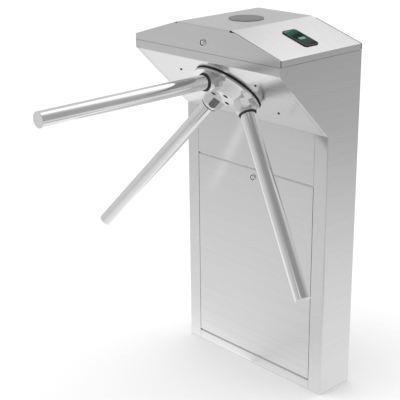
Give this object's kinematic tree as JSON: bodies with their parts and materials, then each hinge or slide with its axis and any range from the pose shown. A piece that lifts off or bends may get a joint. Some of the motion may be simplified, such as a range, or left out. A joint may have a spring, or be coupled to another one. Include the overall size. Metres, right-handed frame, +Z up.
{
  "type": "tripod turnstile",
  "caption": "Stainless tripod turnstile: slim column with overhanging head, sloping front, rotor with tube arms, hinged lid with card reader, service door and internal locking mechanism.",
  "frame": {"origin": "on the floor under the centre of the column's foot", "axes": "+X to the right seen from the front, +Y to the rear, so the arms point along -Y, +Z up"},
  "size_m": [0.7654, 0.7876, 0.9815],
  "materials": {
    "brushed_steel": "stainless sheet with its grain running level",
    "hub_steel": "machined satin stainless",
    "polished_steel": "polished stainless tube",
    "black_rubber": "matt moulded rubber",
    "dark_fastener": "black oxide",
    "pad_plastic": "fine grained dark grey",
    "reader_plastic": "moulded black",
    "reader_gloss": "smoked window with a green glow",
    "sensor_green": "lit green lens",
    "zinc_steel": "zinc plated steel",
    "shaft_steel": "ground steel",
    "cast_housing": "cast and machined",
    "gear_brass": "machined brass",
    "coil_black": "taped coil",
    "board_green": "circuit board",
    "supply_metal": "folded case",
    "cable_black": "sleeved cable"
  },
  "bodies": {
    "cabinet": {"base_plate": "zinc_steel", "cable_grommet": "black_rubber", "left_side_panel": "brushed_steel", "right_side_panel": "brushed_steel", "back_panel": "brushed_steel", "front_upper_panel": "brushed_steel", "bottom_rail": "brushed_steel", "slant_panel": "brushed_steel", "panel_screws": "dark_fastener", "hub_seal_ring": "black_rubber", "lid_catch": "zinc_steel", "lid_hinge_body_leaf": "zinc_steel", "lid_hinge_pin": "zinc_steel", "mechanism_front_plate": "zinc_steel", "mechanism_rear_plate": "zinc_steel", "bearing_housing": "cast_housing", "bearing_outer_rings": "shaft_steel", "bearing_balls": "shaft_steel", "solenoid_left": "coil_black", "solenoid_right": "coil_black", "pivot_pins": "zinc_steel", "damper_body": "cast_housing", "sensor_board": "board_green", "homing_spring": "shaft_steel", "power_supply": "supply_metal", "control_board": "board_green", "board_standoffs": "gear_brass", "wiring_harness": "cable_black"},
    "rotor": {"tripod_hub": "hub_steel", "hub_disc": "hub_steel", "hub_bolts": "dark_fastener", "arm_front": "polished_steel", "arm_left": "polished_steel", "arm_right": "polished_steel", "arm_end_caps": "polished_steel", "arm_gaskets": "black_rubber", "main_shaft": "shaft_steel", "bearing_inner_rings": "shaft_steel", "lock_disc": "zinc_steel", "drive_gear": "gear_brass", "encoder_disc": "coil_black", "shaft_nut": "zinc_steel"},
    "damper_gear": {"damper_pinion": "gear_brass"},
    "crank": {"homing_crank": "gear_brass"},
    "left_pawl": {"pawl_left": "zinc_steel"},
    "right_pawl": {"pawl_right": "zinc_steel"},
    "left_plunger": {"plunger_left": "zinc_steel"},
    "right_plunger": {"plunger_right": "zinc_steel"},
    "lid": {"lid_shell": "brushed_steel", "card_pad": "pad_plastic", "reader_body": "reader_plastic", "reader_window": "reader_gloss", "reader_sensor": "sensor_green", "lid_lock_barrel": "polished_steel", "lid_hinge_lid_leaf": "zinc_steel"},
    "lid_lock": {"lid_lock_plug": "polished_steel"},
    "door": {"door_panel": "brushed_steel", "door_lock_barrel": "polished_steel", "door_pivot_pins": "zinc_steel"},
    "door_lock": {"door_lock_plug": "polished_steel"}
  },
  "joints": [
    {"name": "rotor_turn", "type": "hinge", "parent": "cabinet", "child": "rotor", "pos_m": [0, -0.15275, 0.81075], "axis": [0, -0.7071, -0.7071], "continuous": true},
    {"name": "damper_gear_turn", "type": "hinge", "parent": "cabinet", "child": "damper_gear", "pos_m": [0, -0.13649, 0.91753], "axis": [0, -0.7071, -0.7071], "continuous": true},
    {"name": "crank_turn", "type": "hinge", "parent": "cabinet", "child": "crank", "pos_m": [0, -0.04598, 0.82702], "axis": [0, -0.7071, -0.7071], "continuous": true, "deforming": ["homing_spring"]},
    {"name": "left_pawl_swing", "type": "hinge", "parent": "cabinet", "child": "left_pawl", "pos_m": [-0.058, -0.07214, 0.83479], "axis": [0, 0.7071, 0.7071], "range_deg": [0, 10], "stiffness_Nm_per_rad": 1, "springref_deg": -5.73},
    {"name": "right_pawl_swing", "type": "hinge", "parent": "cabinet", "child": "right_pawl", "pos_m": [0.058, -0.07214, 0.83479], "axis": [0, -0.7071, -0.7071], "range_deg": [0, 10], "stiffness_Nm_per_rad": 1, "springref_deg": -5.73},
    {"name": "left_plunger_slide", "type": "slide", "parent": "cabinet", "child": "left_plunger", "axis": [-1, 0, 0], "range_m": [0, 0.0046]},
    {"name": "right_plunger_slide", "type": "slide", "parent": "cabinet", "child": "right_plunger", "axis": [1, 0, 0], "range_m": [0, 0.0046]},
    {"name": "lid_open", "type": "hinge", "parent": "cabinet", "child": "lid", "pos_m": [0, 0.0615, 0.915], "axis": [-1, 0, 0], "range_deg": [0, 80]},
    {"name": "lid_lock_turn", "type": "hinge", "parent": "lid", "child": "lid_lock", "pos_m": [0, -0.236, 0.94], "axis": [0, -1, 0], "range_deg": [0, 90]},
    {"name": "door_open", "type": "hinge", "parent": "cabinet", "child": "door", "pos_m": [0, -0.053, 0.0345], "axis": [1, 0, 0], "range_deg": [0, 90]},
    {"name": "door_lock_turn", "type": "hinge", "parent": "door", "child": "door_lock", "pos_m": [0, -0.058, 0.5545], "axis": [0, -1, 0], "range_deg": [0, 90]}
  ],
  "couplings": [
    {"joint": "damper_gear_turn", "follows": "rotor_turn", "ratio": -3},
    {"joint": "crank_turn", "follows": "rotor_turn", "ratio": -3},
    {"joint": "left_plunger_slide", "follows": "left_pawl_swing", "m_per_rad": 0.026},
    {"joint": "right_plunger_slide", "follows": "right_pawl_swing", "m_per_rad": 0.026}
  ]
}
